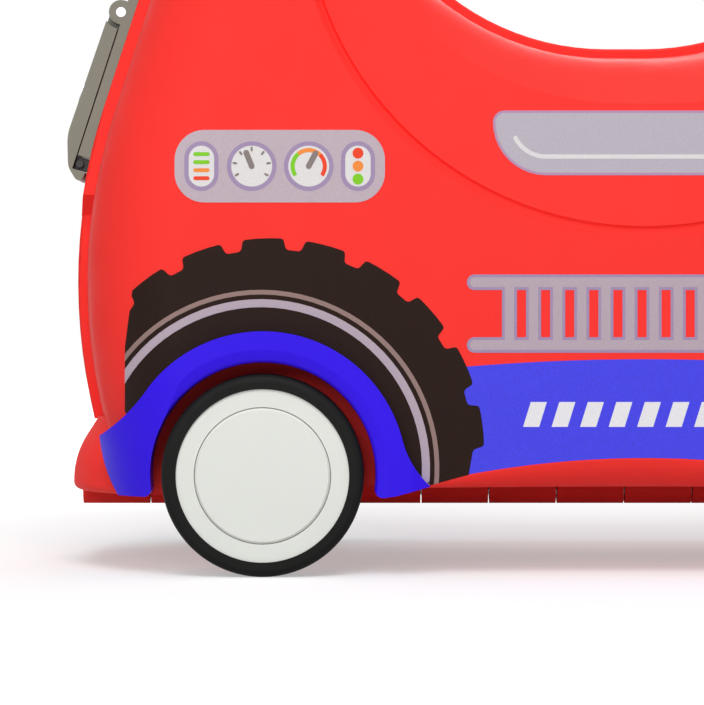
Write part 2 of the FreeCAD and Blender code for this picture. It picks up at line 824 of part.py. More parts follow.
def grip():
    """Hand grip leaning out from the front hump, ribbed round its waist."""
    profile = [V(0, 0, 0), V(grip_root_radius, 0, 0)]
    knob = grip_length - grip_knob_radius
    step = (knob - grip_knob_radius) / (2 * grip_rib_count + 1)
    z = grip_knob_radius
    for index in range(2 * grip_rib_count + 1):
        radius = grip_waist_radius + (grip_rib if index % 2 else 0.0)
        profile.append(V(radius, 0, z))
        z += step
    profile.append(V(grip_waist_radius, 0, z))
    edges = []
    for start, end in zip(profile, profile[1:]):
        edges.append(Part.LineSegment(start, end).toShape())
    side = V(grip_knob_radius, 0, knob)
    tip = V(0, 0, grip_length)
    lean = math.sqrt(0.5) * grip_knob_radius
    edges.append(Part.LineSegment(profile[-1], side).toShape())
    edges.append(Part.Arc(side, V(lean, 0, knob + lean), tip).toShape())
    edges.append(Part.LineSegment(tip, profile[0]).toShape())
    solid = Part.Face(Part.Wire(edges)).revolve(V(0, 0, 0), V(0, 0, 1), 360)
    solid.rotate(V(0, 0, 0), V(1, 0, 0), grip_lean_deg)
    solid.translate(V(-grip_x, -grip_y, grip_z))
    return solid.cut(body(0.0, rim_y))


strap_back = -half_width + wall + strap_gap
strap_front = strap_back + strap_thickness


def packing_strap():
    """Webbing laid along the inside of the left half, from anchor to anchor through the buckle."""
    low = strap_z - strap_width / 2
    return block(-strap_half_length, strap_half_length, strap_back, strap_front, low, low + strap_width)


def softened(solid, radius):
    upright = []
    for edge in solid.Edges:
        if edge.BoundBox.YLength > radius:
            upright.append(edge)
    return solid.makeFillet(radius, upright)


def buckle():
    """Side-release buckle at mid strap, with finger notches and a slot for the strap."""
    back = strap_back - strap_gap
    long = buckle_length / 2
    tall = buckle_width / 2
    solid = block(-long, long, back, back + buckle_thickness, strap_z - tall, strap_z + tall)
    solid = softened(solid, buckle_round)
    for z in (strap_z - tall, strap_z + tall):
        solid = solid.cut(rod_y(0, z, buckle_prong, back - overrun, back + buckle_thickness + overrun))
    return solid.cut(strap_passage())


def strap_passage():
    tall = strap_width / 2 + strap_gap
    reach = strap_half_length + anchor_length
    return block(-reach, reach, strap_back, strap_front + strap_gap, strap_z - tall, strap_z + tall)


def strap_anchors():
    pieces = []
    back = strap_back - strap_gap
    for side in (-1, 1):
        middle = side * strap_half_length
        x0 = middle - anchor_length / 2
        solid = block(x0, x0 + anchor_length, back, back + anchor_thickness,
                      strap_z - anchor_height / 2, strap_z + anchor_height / 2)
        pieces.append(softened(solid, anchor_round).cut(strap_passage()))
    return Part.makeCompound(pieces)


def half_nodes(side, flip, tab_gap):
    """Nodes that both halves have; flip turns a left piece into this side's."""
    nodes = {}
    front_arch = drilled_arch(-axle_x)
    front_bumper = bumper()
    front_striker = striker(tab_gap)
    nodes[side + "_front_arch"] = flip(front_arch)
    nodes[side + "_rear_arch"] = flip(to_rear(front_arch))
    nodes[side + "_front_bumper"] = flip(front_bumper)
    nodes[side + "_rear_bumper"] = flip(to_rear(front_bumper))
    nodes[side + "_front_striker"] = flip(front_striker)
    nodes[side + "_rear_striker"] = flip(to_rear(front_striker))
    nodes[side + "_arch_screws"] = flip(screws())
    nodes[side + "_axle_clips"] = flip(axle_clips())
    nodes[side + "_grip"] = flip(grip())
    for end, x in (("front", -axle_x), ("rear", axle_x)):
        corner = side + "_" + end
        nodes[corner + "_axle"] = flip(axle(x))
        nodes[corner + "_tyre"] = flip(tyre(x))
        nodes[corner + "_hub"] = flip(hub(x))
        nodes[corner + "_hub_cap"] = flip(hub_cap(x))
    return nodes


def drilled_arch(x):
    solid = arch(x)
    for screw_x, z in screw_places():
        solid = solid.cut(rod_y(screw_x, z, screw_radius, -half_width - screw_bite, -arch_root_y))
    return solid.removeSplitter()


def main():
    os.makedirs("parts", exist_ok=True)
    nodes = {}
    nodes["left_shell"] = shell(0, 0.0)
    nodes["right_shell"] = mirrored(shell(1, running_clearance))
    nodes.update(half_nodes("left", lambda shape: shape, striker_gap))
    nodes.update(half_nodes("right", mirrored, striker_lid_gap))
    nodes["rim_seal"] = rim_seal()
    nodes["hinge_pin"] = hinge_pin()
    nodes["front_latch_base"] = latch_base()
    nodes["front_latch_pin"] = latch_pin()
    nodes["front_latch_lever"] = latch_lever(True)
    nodes["lock_barrel"] = lock_barrel()
    nodes["rear_latch_base"] = to_rear(latch_base())
    nodes["rear_latch_pin"] = to_rear(latch_pin())
    nodes["rear_latch_lever"] = to_rear(latch_lever(False))
    nodes["packing_strap"] = packing_strap()
    nodes["strap_buckle"] = buckle()
    nodes["strap_anchors"] = strap_anchors()
    for name, shape in nodes.items():
        print(name, shape.isValid(), len(shape.Solids), round(shape.Volume))
        shape.exportStep("parts/" + name + ".step")


main()
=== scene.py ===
import json
import math

import bmesh
import bpy
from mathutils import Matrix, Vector
from mathutils.bvhtree import BVHTree


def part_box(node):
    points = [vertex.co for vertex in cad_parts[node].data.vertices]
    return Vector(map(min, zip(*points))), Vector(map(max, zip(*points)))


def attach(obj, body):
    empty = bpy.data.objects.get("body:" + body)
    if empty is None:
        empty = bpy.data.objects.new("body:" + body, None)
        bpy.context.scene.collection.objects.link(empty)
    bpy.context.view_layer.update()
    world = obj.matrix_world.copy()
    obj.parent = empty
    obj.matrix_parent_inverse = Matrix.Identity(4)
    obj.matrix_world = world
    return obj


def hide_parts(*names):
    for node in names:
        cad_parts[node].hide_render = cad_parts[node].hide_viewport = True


# Looks of a ride-on suitcase dressed as a fire engine, in metres, in the frame of the CAD model:
# X runs along the case with the front at -X, the photographed left side is at -Y, and Z is up.

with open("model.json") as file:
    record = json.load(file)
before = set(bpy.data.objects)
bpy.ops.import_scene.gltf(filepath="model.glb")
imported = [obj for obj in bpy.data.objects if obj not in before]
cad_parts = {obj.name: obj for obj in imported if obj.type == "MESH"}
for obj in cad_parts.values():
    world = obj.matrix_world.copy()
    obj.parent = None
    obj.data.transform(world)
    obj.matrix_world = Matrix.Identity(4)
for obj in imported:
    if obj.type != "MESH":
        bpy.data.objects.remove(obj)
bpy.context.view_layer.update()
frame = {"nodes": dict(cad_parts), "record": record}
nodes = frame["nodes"]
mm = 0.001
sides = (("left", -1), ("right", 1))
ends = (("front", -1), ("rear", 1))

# Camera, from the photograph's own pixel frame
image_height = 705
horizon_row = 317
camera_place = (-113.1 * mm, -1296.0 * mm, 100.0 * mm)
sensor_mm = 36.0
lens_mm = 158.8

# Finishes, as linear colours
red = (0.95, 0.036, 0.029)
arch_blue = (0.032, 0.004, 0.80)
tyre_black = (0.007, 0.007, 0.0065)
hub_white = (0.76, 0.78, 0.73)
latch_grey = (0.185, 0.20, 0.155)
seal_black = (0.012, 0.012, 0.012)
grip_black = (0.020, 0.020, 0.022)
steel_grey = (0.55, 0.56, 0.58)
buckle_black = (0.016, 0.016, 0.017)
lilac_colour = (0.47, 0.385, 0.44)
purple_colour = (0.36, 0.27, 0.43)
panel_colour = (0.52, 0.425, 0.475)
tread_colour = (0.019, 0.009, 0.006)
tan_colour = (0.30, 0.20, 0.18)
stripe_colour = (0.070, 0.068, 0.80)
dash_colour = (0.80, 0.80, 0.83)
window_rose = (0.45, 0.27, 0.42)
window_grey = (0.47, 0.43, 0.49)
glint_colour = (0.70, 0.67, 0.68)
dial_colour = (0.74, 0.72, 0.71)
needle_colour = (0.25, 0.21, 0.20)
green_colour = (0.22, 0.60, 0.03)
orange_colour = (0.90, 0.28, 0.06)
warm_colour = (0.85, 0.07, 0.03)
thread_grey = (0.16, 0.16, 0.17)

# Surface detail: how strong and how fine the noise in a finish is
noise_span = (0.3, 0.7)
cloud_scale = 14.0
cloud_detail = 3.0
gloss_scale = 60.0
gloss_detail = 4.0
gloss_spread = 0.05
grain_strength = 0.35
fine_grain = 0.02 * mm
hub_grain = 0.015 * mm
tyre_grain = 0.05 * mm
seal_grain = 0.04 * mm
grip_grain = 0.06 * mm
buckle_grain = 0.03 * mm
drawn_scale = 900.0
drawn_stretch = (1.0, 0.05, 1.0)
drawn_tones = (0.85, 1.1)
drawn_roughness = (0.25, 0.42)
drawn_strength = 0.2

# Floor, surroundings and lamps; a lamp has its place, size and watts
floor_size = 8.0
floor_grey = (0.62, 0.62, 0.62)
floor_roughness = 0.8
floor_lift = 0.40
shadow_reach = 0.33
white_from = 0.75
world_light = 0.24
lamp_target = (0, 0, 0.12)
lamps = {
    "key": ((-0.1, -1.3, 1.7), 1.0, 23.0),
    "fill": ((-0.6, -1.8, 0.75), 0.8, 9.5),
    "top": ((0.0, 0.0, 1.8), 1.6, 8.0),
    "back": ((0.3, 1.7, 1.0), 1.0, 12.0),
}


def new_material(name):
    """A node material, its node tree and its shader."""
    material = bpy.data.materials.new(name)
    material.use_nodes = True
    tree = material.node_tree
    return material, tree, tree.nodes["Principled BSDF"]


def node(tree, kind, **values):
    made = tree.nodes.new(kind)
    for key, value in values.items():
        if key in made.inputs:
            made.inputs[key].default_value = value
        else:
            setattr(made, key, value)
    return made


def noise(tree, scale, detail=2.0, roughness=0.5, stretch=(1.0, 1.0, 1.0)):
    """Noise in the piece's own coordinates, stretched along an axis where asked."""
    place = node(tree, "ShaderNodeTexCoord")
    mapping = node(tree, "ShaderNodeMapping")
    mapping.inputs["Scale"].default_value = stretch
    tree.links.new(place.outputs["Object"], mapping.inputs["Vector"])
    made = node(tree, "ShaderNodeTexNoise", Scale=scale, Detail=detail, Roughness=roughness)
    tree.links.new(mapping.outputs["Vector"], made.inputs["Vector"])
    return made.outputs["Fac"]


def ranged(tree, value, low, high):
    """The noise value spread from low to high."""
    made = node(tree, "ShaderNodeMapRange")
    made.inputs["From Min"].default_value = noise_span[0]
    made.inputs["From Max"].default_value = noise_span[1]
    made.inputs["To Min"].default_value = low
    made.inputs["To Max"].default_value = high
    tree.links.new(value, made.inputs["Value"])
    return made.outputs["Result"]


def tinted(tree, value, dark, light):
    """A colour between two tones, by the value."""
    made = node(tree, "ShaderNodeMix", data_type="RGBA")
    sockets = {(socket.name, socket.type): socket for socket in made.inputs}
    sockets["A", "RGBA"].default_value = (*dark, 1.0)
    sockets["B", "RGBA"].default_value = (*light, 1.0)
    tree.links.new(value, sockets["Factor", "VALUE"])
    return [socket for socket in made.outputs if socket.type == "RGBA"][0]


def bump(tree, shader, value, strength, distance):
    made = node(tree, "ShaderNodeBump", Strength=strength, Distance=distance)
    tree.links.new(value, made.inputs["Height"])
    tree.links.new(made.outputs["Normal"], shader.inputs["Normal"])


def toned(colour, gain):
    return tuple(min(1.0, channel * gain) for channel in colour)


def moulded(name, colour, roughness, spread, grain_scale, grain_depth, sheen=0.4):
    """Moulded plastic or rubber: fine surface grain, uneven gloss and faint shifts of tone."""
    material, tree, shader = new_material(name)
    shader.inputs["Specular IOR Level"].default_value = sheen
    clouds = ranged(tree, noise(tree, cloud_scale, cloud_detail), 0.0, 1.0)
    colour_out = tinted(tree, clouds, toned(colour, 1.0 - spread), toned(colour, 1.0 + spread))
    tree.links.new(colour_out, shader.inputs["Base Color"])
    patches = noise(tree, gloss_scale, gloss_detail)
    gloss = ranged(tree, patches, roughness - gloss_spread, roughness + gloss_spread)
    tree.links.new(gloss, shader.inputs["Roughness"])
    bump(tree, shader, noise(tree, grain_scale), grain_strength, grain_depth)
    return material


def brushed_metal(name, colour):
    """Drawn metal with fine lines along the axles."""
    material, tree, shader = new_material(name)
    shader.inputs["Metallic"].default_value = 1.0
    lines = noise(tree, drawn_scale, stretch=drawn_stretch)
    dark, light = (toned(colour, gain) for gain in drawn_tones)
    colour_out = tinted(tree, ranged(tree, lines, 0.0, 1.0), dark, light)
    tree.links.new(colour_out, shader.inputs["Base Color"])
    tree.links.new(ranged(tree, lines, *drawn_roughness), shader.inputs["Roughness"])
    bump(tree, shader, lines, drawn_strength, fine_grain)
    return material


slot_material = {
    "shell_red": moulded("red_plastic", red, roughness=0.65, spread=0.02, sheen=0.15,
        grain_scale=2600.0, grain_depth=fine_grain),
    "arch_blue": moulded("blue_plastic", arch_blue, roughness=0.40, spread=0.03, sheen=0.17,
        grain_scale=2600.0, grain_depth=fine_grain),
    "tyre_black": moulded("soft_tyre", tyre_black, roughness=0.60, spread=0.12, sheen=0.12,
        grain_scale=1800.0, grain_depth=tyre_grain),
    "hub_white": moulded("white_plastic", hub_white, roughness=0.38, spread=0.015,
        grain_scale=2600.0, grain_depth=hub_grain),
    "latch_grey": moulded("grey_plastic", latch_grey, roughness=0.42, spread=0.04,
        grain_scale=2200.0, grain_depth=fine_grain),
    "seal_rubber": moulded("seal_rubber", seal_black, roughness=0.62, spread=0.1,
        grain_scale=1500.0, grain_depth=seal_grain),
    "grip_rubber": moulded("grip_rubber", grip_black, roughness=0.58, spread=0.1,
        grain_scale=1500.0, grain_depth=grip_grain),
    "buckle_black": moulded("buckle_plastic", buckle_black, roughness=0.45, spread=0.1,
        grain_scale=2000.0, grain_depth=buckle_grain),
    "webbing": moulded("strap_webbing", buckle_black, roughness=0.8, spread=0.1,
        grain_scale=1500.0, grain_depth=tyre_grain),
    "steel": brushed_metal("drawn_steel", steel_grey),
}


def dress_nodes():
    """Gives every CAD node the material of its slot in the record."""
    for part in frame["record"]["subparts"]:
        mesh = nodes[part["node"]].data
        mesh.materials.clear()
        mesh.materials.append(slot_material[part["material_slot"]])


def set_camera():
    data = bpy.data.cameras.new("camera")
    data.lens = lens_mm
    data.sensor_width = sensor_mm
    data.shift_y = (horizon_row - image_height / 2) / image_height
    camera = bpy.data.objects.new("camera", data)
    camera.location = camera_place
    camera.rotation_euler = (math.pi / 2, 0, 0)
    bpy.context.scene.collection.objects.link(camera)
    bpy.context.scene.camera = camera


def hang_lamps():
    """Square lamps that face the middle of the case."""
    for name, (place, size, watts) in lamps.items():
        data = bpy.data.lights.new(name, "AREA")
        data.size = size
        data.energy = watts
        lamp = bpy.data.objects.new(name, data)
        lamp.location = place
        lamp.rotation_euler = (Vector(lamp_target) - Vector(place)).to_track_quat("-Z", "Y").to_euler()
        bpy.context.scene.collection.objects.link(lamp)


def seen_rays(tree):
    """1 for rays that show a surface directly, mirrored or through glass, and 0 for other rays."""
    path = node(tree, "ShaderNodeLightPath")
    mirrored = node(tree, "ShaderNodeMath", operation="MAXIMUM")
    tree.links.new(path.outputs["Is Glossy Ray"], mirrored.inputs[0])
    tree.links.new(path.outputs["Is Transmission Ray"], mirrored.inputs[1])
    seen = node(tree, "ShaderNodeMath", operation="MAXIMUM")
    tree.links.new(path.outputs["Is Camera Ray"], seen.inputs[0])
    tree.links.new(mirrored.outputs["Value"], seen.inputs[1])
    return seen.outputs["Value"]


def set_world():
    """White surroundings: full white where they are seen or mirrored, softer as light."""
    world = bpy.data.worlds.new("studio")
    bpy.context.scene.world = world
    world.use_nodes = True
    tree = world.node_tree
    back = tree.nodes["Background"]
    back.inputs["Color"].default_value = (1, 1, 1, 1)
    level = node(tree, "ShaderNodeMapRange")
    level.inputs["To Min"].default_value = world_light
    level.inputs["To Max"].default_value = 1.0
    tree.links.new(seen_rays(tree), level.inputs["Value"])
    tree.links.new(level.outputs["Result"], back.inputs["Strength"])


def make_floor():
    """Pale floor that keeps the shadow near the case and is seen as white further off."""
    mesh = bpy.data.meshes.new("floor")
    half = floor_size / 2
    corners = [(-half, -half, 0), (half, -half, 0), (half, half, 0), (-half, half, 0)]
    mesh.from_pydata(corners, [], [(0, 1, 2, 3)])
    floor = bpy.data.objects.new("floor", mesh)
    bpy.context.scene.collection.objects.link(floor)
    material, tree, shader = new_material("pale_floor")
    shader.inputs["Base Color"].default_value = (*floor_grey, 1)
    shader.inputs["Roughness"].default_value = floor_roughness
    shader.inputs["Specular IOR Level"].default_value = 0.0
    place = node(tree, "ShaderNodeTexCoord")
    length = node(tree, "ShaderNodeVectorMath", operation="LENGTH")
    tree.links.new(place.outputs["Object"], length.inputs[0])
    fade = node(tree, "ShaderNodeMapRange", interpolation_type="SMOOTHSTEP")
    fade.inputs["From Min"].default_value = shadow_reach
    fade.inputs["From Max"].default_value = white_from
    fade.inputs["To Min"].default_value = floor_lift
    tree.links.new(length.outputs["Value"], fade.inputs["Value"])
    seen = node(tree, "ShaderNodeMath", operation="MULTIPLY")
    tree.links.new(fade.outputs["Result"], seen.inputs[0])
    tree.links.new(seen_rays(tree), seen.inputs[1])
    tree.links.new(seen.outputs["Value"], shader.inputs["Emission Strength"])
    shader.inputs["Emission Color"].default_value = (1, 1, 1, 1)
    mesh.materials.append(material)


# Where the side of the shell begins and ends
half_width = -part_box("left_shell")[0].y
floor_z = 34.0 * mm
sill_half = 88.0 * mm
sill_rise = 11.0 * mm
sill_least = 0.4 * mm
sill_margin = 0.6 * mm
tyre_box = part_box("left_front_tyre")
axle_x = (tyre_box[0].x + tyre_box[1].x) / 2
axle_z = (tyre_box[0].z + tyre_box[1].z) / 2
arch_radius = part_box("left_front_arch")[1].z - axle_z


def sill_z(x):
    """Height of the crease above the rounded sill."""
    share = x / sill_half
    return floor_z + sill_least + (sill_rise - sill_least) * (1 - share * share) + sill_margin


# Prints on the sides, drawn in side view as (x, z) loops
print_lift = 0.10 * mm
print_step = 0.05 * mm
print_thickness = 0.25 * mm
print_mesh = 2.5 * mm
print_weld = 0.05 * mm
ink_sheen = 0.08
ink_speckle = 2400.0
ink_roughness = (0.38, 0.48)
ink_grain = 2600.0
ink_grain_strength = 0.3
curve_steps = 40
ease_steps = 4
ease_least_turn = math.radians(20)


def ink(name, colour, spread=0.06):
    """Printed film: faint speckle in the colour, and the gloss of the plastic under it."""
    material, tree, shader = new_material(name)
    shader.inputs["Specular IOR Level"].default_value = ink_sheen
    speckle = ranged(tree, noise(tree, ink_speckle, detail=1.0), 0.0, 1.0)
    colour_out = tinted(tree, speckle, toned(colour, 1.0 - spread), toned(colour, 1.0 + spread))
    tree.links.new(colour_out, shader.inputs["Base Color"])
    gloss = ranged(tree, noise(tree, gloss_scale, gloss_detail), *ink_roughness)
    tree.links.new(gloss, shader.inputs["Roughness"])
    bump(tree, shader, noise(tree, ink_grain), ink_grain_strength, fine_grain)
    return material


def polar(centre, radius, angle_deg):
    angle = math.radians(angle_deg)
    return (centre[0] + radius * math.cos(angle), centre[1] + radius * math.sin(angle))


def arc(centre, radius, start_deg, end_deg, steps=curve_steps):
    """Points on a circle from one angle to another, both ends included."""
    turn = (end_deg - start_deg) / steps
    return [polar(centre, radius, start_deg + turn * index) for index in range(steps + 1)]


def disc(centre, radius):
    return arc(centre, radius, 0, 360)[:-1]


def band(centre, inner, outer, start_deg, end_deg):
    """Part of a ring as one loop."""
    return arc(centre, outer, start_deg, end_deg) + arc(centre, inner, end_deg, start_deg)


def rounded_box(x0, x1, z0, z1, radius):
    steps = curve_steps // 4
    loop = arc((x1 - radius, z0 + radius), radius, -90, 0, steps)
    loop += arc((x1 - radius, z1 - radius), radius, 0, 90, steps)
    loop += arc((x0 + radius, z1 - radius), radius, 90, 180, steps)
    return loop + arc((x0 + radius, z0 + radius), radius, 180, 270, steps)


def bar(start, end, width):
    """A straight bar with round ends."""
    turn = math.degrees(math.atan2(end[1] - start[1], end[0] - start[0]))
    steps = curve_steps // 4
    loop = arc(end, width / 2, turn - 90, turn + 90, steps)
    return loop + arc(start, width / 2, turn + 90, turn + 270, steps)


def eased(loop, reach):
    """The loop with its sharp corners rounded over this reach."""
    result = []
    for before, corner, after in zip(loop[-1:] + loop[:-1], loop, loop[1:] + loop[:1]):
        point = Vector(corner)
        back = Vector(before) - point
        ahead = Vector(after) - point
        if abs(math.pi - back.angle(ahead)) < ease_least_turn:
            result.append(corner)
            continue
        start = point + back.normalized() * min(reach, back.length / 2)
        end = point + ahead.normalized() * min(reach, ahead.length / 2)
        for index in range(ease_steps + 1):
            share = index / ease_steps
            middle = start.lerp(point, share).lerp(point.lerp(end, share), share)
            result.append(tuple(middle))
    return result


def shell_surface(side):
    mesh = nodes[side + "_shell"].data
    return BVHTree.FromPolygons([v.co for v in mesh.vertices], [p.vertices for p in mesh.polygons])


surfaces = {side: shell_surface(side) for side, _ in sides}


def cut(mesh, place, normal, drop_outer=False):
    """Cuts a flat mesh along a line, and drops what lies on the normal's side if asked."""
    parts = mesh.verts[:] + mesh.edges[:] + mesh.faces[:]
    bmesh.ops.bisect_plane(mesh, geom=parts, dist=print_weld, plane_co=place, plane_no=normal,
                           clear_outer=drop_outer)


def filled(loops, clips):
    """A flat mesh in the XZ plane inside the loops, cut by lines and into small faces."""
    mesh = bmesh.new()
    for loop in loops:
        corners = [mesh.verts.new((x, 0, z)) for x, z in loop]
        for start, end in zip(corners, corners[1:] + corners[:1]):
            mesh.edges.new((start, end))
    bmesh.ops.remove_doubles(mesh, verts=mesh.verts[:], dist=print_weld)
    bmesh.ops.triangle_fill(mesh, edges=mesh.edges[:], use_beauty=True)
    for (x, z), (nx, nz) in clips:
        cut(mesh, (x, 0, z), (nx, 0, nz), drop_outer=True)
    for axis in (0, 2):
        low = min(v.co[axis] for v in mesh.verts)
        high = max(v.co[axis] for v in mesh.verts)
        normal = Vector((1, 0, 0)) if axis == 0 else Vector((0, 0, 1))
        cuts = int((high - low) / print_mesh)
        for index in range(1, cuts + 1):
            cut(mesh, normal * (low + (high - low) * index / (cuts + 1)), normal)
    return mesh


def wrapped(flat, side, sign, lift):
    """A copy of a flat print laid on one half, raised a hair off the plastic."""
    laid = flat.copy()
    inward = Vector((0, -sign, 0))
    for corner in laid.verts:
        start = Vector((corner.co.x, sign * 2 * half_width, corner.co.z))
        hit, normal, _, _ = surfaces[side].ray_cast(start, inward)
        corner.co = hit + normal * lift
    bmesh.ops.recalc_face_normals(laid, faces=laid.faces[:])
    if sum(face.normal.y * face.calc_area() for face in laid.faces) * sign < 0:
        bmesh.ops.reverse_faces(laid, faces=laid.faces[:])
    for face in laid.faces:
        face.smooth = True
    for edge in laid.edges:
        edge.smooth = not edge.is_boundary
    return laid


def print_on(name, loops, material, layer, clips=()):
    """Lays a print on both halves, later layers above earlier ones."""
    flat = filled(loops, clips)
    for side, sign in sides:
        laid = wrapped(flat, side, sign, print_lift + layer * print_step)
        mesh = bpy.data.meshes.new(side + "_" + name)
        laid.to_mesh(mesh)
        laid.free()
        mesh.materials.append(material)
        piece = bpy.data.objects.new(side + "_" + name, mesh)
        bpy.context.scene.collection.objects.link(piece)
        solid = piece.modifiers.new("thickness", "SOLIDIFY")
        solid.thickness = print_thickness
        solid.offset = -1
        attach(piece, side + "_half")
    flat.free()


# Tyre print round each arch
tread_place = (3.2 * mm, 9.2 * mm)
tread_tuck = 1.0 * mm
tread_base = 77.9 * mm
tread_top = 82.2 * mm
tread_middle_deg = 92.2
tread_pitch_deg = 17.07
tread_span_deg = (-20.0, 158.0)
tread_ease = 1.3 * mm
tread_foot_share = 0.75
tread_head_share = 0.64
tread_blocks = range(-5, 3)
block_steps = 3
tread_spread = 0.25
ring_place = (-0.8 * mm, 2.6 * mm)
thick_ring = (62.2 * mm, 65.3 * mm)
thin_ring = (67.1 * mm, 68.9 * mm)
ring_span_deg = (-15.0, 152.0)
front_cuts = (((-200.3 * mm, 95.0 * mm), 8.0), ((-201.4 * mm, 75.0 * mm), 0.8))
sill_cut = (-67.0 * mm, 39.4 * mm)
sill_cut_lean_deg = 15.0


def at_end(points, sign):
    """Points drawn for the front, or mirrored to the rear."""
    return [(-sign * x, z) for x, z in points]


def tread_loop(centre):
    """The tyre from its lower end over the top to the nose, with blocks along its outer edge."""
    foot = tread_foot_share * tread_pitch_deg / 2
    head = tread_head_share * tread_pitch_deg / 2
    first, last = tread_span_deg
    loop = [polar(centre, tread_base, first)]
    for index in tread_blocks:
        middle = tread_middle_deg + index * tread_pitch_deg
        loop.append(polar(centre, tread_base, middle - foot))
        loop += arc(centre, tread_top, middle - head, middle + head, block_steps)
        loop.append(polar(centre, tread_base, middle + foot))
    loop = eased(loop + [polar(centre, tread_base, last)], tread_ease)
    return loop + arc((axle_x, axle_z), arch_radius - tread_tuck, last, first)


def tread_clips(sign):
    """Lines that trim the tyre print at the nose, the floor and the sill."""
    clips = []
    for place, lean_deg in front_cuts:
        lean = math.radians(lean_deg)
        clips.append((place, (-math.cos(lean), math.sin(lean))))
    slope = math.radians(sill_cut_lean_deg)
    clips.append((sill_cut, (math.sin(slope), -math.cos(slope))))
    clips.append(((axle_x, floor_z + sill_least + sill_margin), (0, -1)))
    return [((-sign * x, z), (-sign * nx, nz)) for (x, z), (nx, nz) in clips]


def print_tyres():
    tread = (axle_x + tread_place[0], axle_z + tread_place[1])
    centre = (axle_x + ring_place[0], axle_z + ring_place[1])
    rubber = ink("print_black", tread_colour, tread_spread)
    lilac = ink("print_lilac", lilac_colour)
    tan = ink("print_tan", tan_colour)
    for end, sign in ends:
        clips = tread_clips(sign)
        print_on(end + "_tyre_print", [at_end(tread_loop(tread), sign)], rubber, 1, clips)
        ring = at_end(band(centre, *thick_ring, *ring_span_deg), sign)
        print_on(end + "_tyre_ring", [ring], lilac, 2, clips)
        ring = at_end(band(centre, *thin_ring, *ring_span_deg), sign)
        print_on(end + "_tyre_line", [ring], tan, 2, clips)


# Stripe along the sill, with a row of slanted dashes
stripe_half = 74.0 * mm
stripe_top = 83.7 * mm
stripe_fall = 3.3 * mm
stripe_spread = 0.10
dash_count = 9
dash_pitch = 11.0 * mm
dash_width = 6.2 * mm
dash_slant = 3.0 * mm
dash_low = 57.6 * mm
dash_high = 67.2 * mm


def print_stripe():
    blue = ink("print_blue", stripe_colour, stripe_spread)
    white = ink("print_white", dash_colour)
    top = []
    bottom = []
    for index in range(curve_steps + 1):
        x = stripe_half * (2 * index / curve_steps - 1)
        top.append((-x, stripe_top - stripe_fall * (x / stripe_half) ** 2))
        bottom.append((x, sill_z(x)))
    print_on("stripe", [bottom + top], blue, 0)
    dashes = []
    for index in range(dash_count):
        x = (index - (dash_count - 1) / 2) * dash_pitch - dash_width / 2
        low = [(x, dash_low), (x + dash_width, dash_low)]
        high = [(x + dash_width + dash_slant, dash_high), (x + dash_slant, dash_high)]
        dashes.append(low + high)
    print_on("stripe_dashes", dashes, white, 1)


# Ladder above the stripe
ladder_x = -1.2 * mm
ladder_half = 67.6 * mm
ladder_rail = 6.0 * mm
ladder_low = 89.2 * mm
ladder_high = 113.4 * mm
ladder_rungs = 12
ladder_pitch = 9.3 * mm
ladder_rung = 5.8 * mm
ladder_edge = 1.1 * mm


def ladder_loops(inset):
    """The ladder's outline and the openings between its rungs, drawn in by inset."""
    radius = ladder_rail / 2 - inset
    end = ladder_half - ladder_rail / 2
    reach = ladder_pitch * (ladder_rungs - 1) / 2 + ladder_rung / 2 - inset
    floor = ladder_low + radius
    roof = ladder_high - radius
    steps = curve_steps // 2
    loop = arc((end, ladder_low), radius, -90, 90, steps) + [(reach, floor), (reach, roof)]
    loop += arc((end, ladder_high), radius, -90, 90, steps)
    loop += arc((-end, ladder_high), radius, 90, 270, steps) + [(-reach, roof), (-reach, floor)]
    loop += arc((-end, ladder_low), radius, 90, 270, steps)
    loops = [loop]
    gap = ladder_pitch - ladder_rung + 2 * inset
    for index in range(ladder_rungs - 1):
        middle = (index - (ladder_rungs - 2) / 2) * ladder_pitch
        left = middle - gap / 2
        loops.append([(left, floor), (left + gap, floor), (left + gap, roof), (left, roof)])
    return [[(x + ladder_x, z) for x, z in loop] for loop in loops]


def print_ladder():
    print_on("ladder_edge", ladder_loops(0.0), ink("print_purple", purple_colour), 0)
    print_on("ladder", ladder_loops(ladder_edge), ink("print_ladder", lilac_colour), 1)


# Window in the leg recess
window_half = 58.5 * mm
window_low = 154.8 * mm
window_high = 180.0 * mm
window_round = 20.5 * mm
window_top_round = 4.5 * mm
window_edge = 1.0 * mm
glint = (6.4 * mm, 8.1 * mm)
glint_end_deg = 24.0


def window_loop(inset):
    """The window, with wide lower corners and tight upper ones, drawn in by inset."""
    steps = curve_steps // 4
    low = window_low + window_round
    high = window_high - window_top_round
    lower = window_half - window_round
    upper = window_half - window_top_round
    loop = arc((lower, low), window_round - inset, -90, 0, steps)
    loop += arc((upper, high), window_top_round - inset, 0, 90, steps)
    loop += arc((-upper, high), window_top_round - inset, 90, 180, steps)
    return loop + arc((-lower, low), window_round - inset, 180, 270, steps)


def glint_loop():
    """A line along the window's lower edge that follows both corners a little way up."""
    steps = curve_steps // 4
    far = window_half - window_round
    low = window_low + window_round
    outer = window_round - glint[0]
    inner = window_round - glint[1]
    loop = arc((-far, low), outer, 180 + glint_end_deg, 270, steps)
    loop += arc((far, low), outer, 270, 360 - glint_end_deg, steps)
    loop += arc((far, low), inner, 360 - glint_end_deg, 270, steps)
    return loop + arc((-far, low), inner, 270, 180 + glint_end_deg, steps)


def print_window():
    edge = [window_loop(0.0), window_loop(window_edge)]
    print_on("window_edge", edge, ink("print_rose", window_rose), 0)
    print_on("window", [window_loop(window_edge)], ink("print_grey", window_grey), 0)
    print_on("window_glint", [glint_loop()], ink("print_pale", glint_colour), 1)


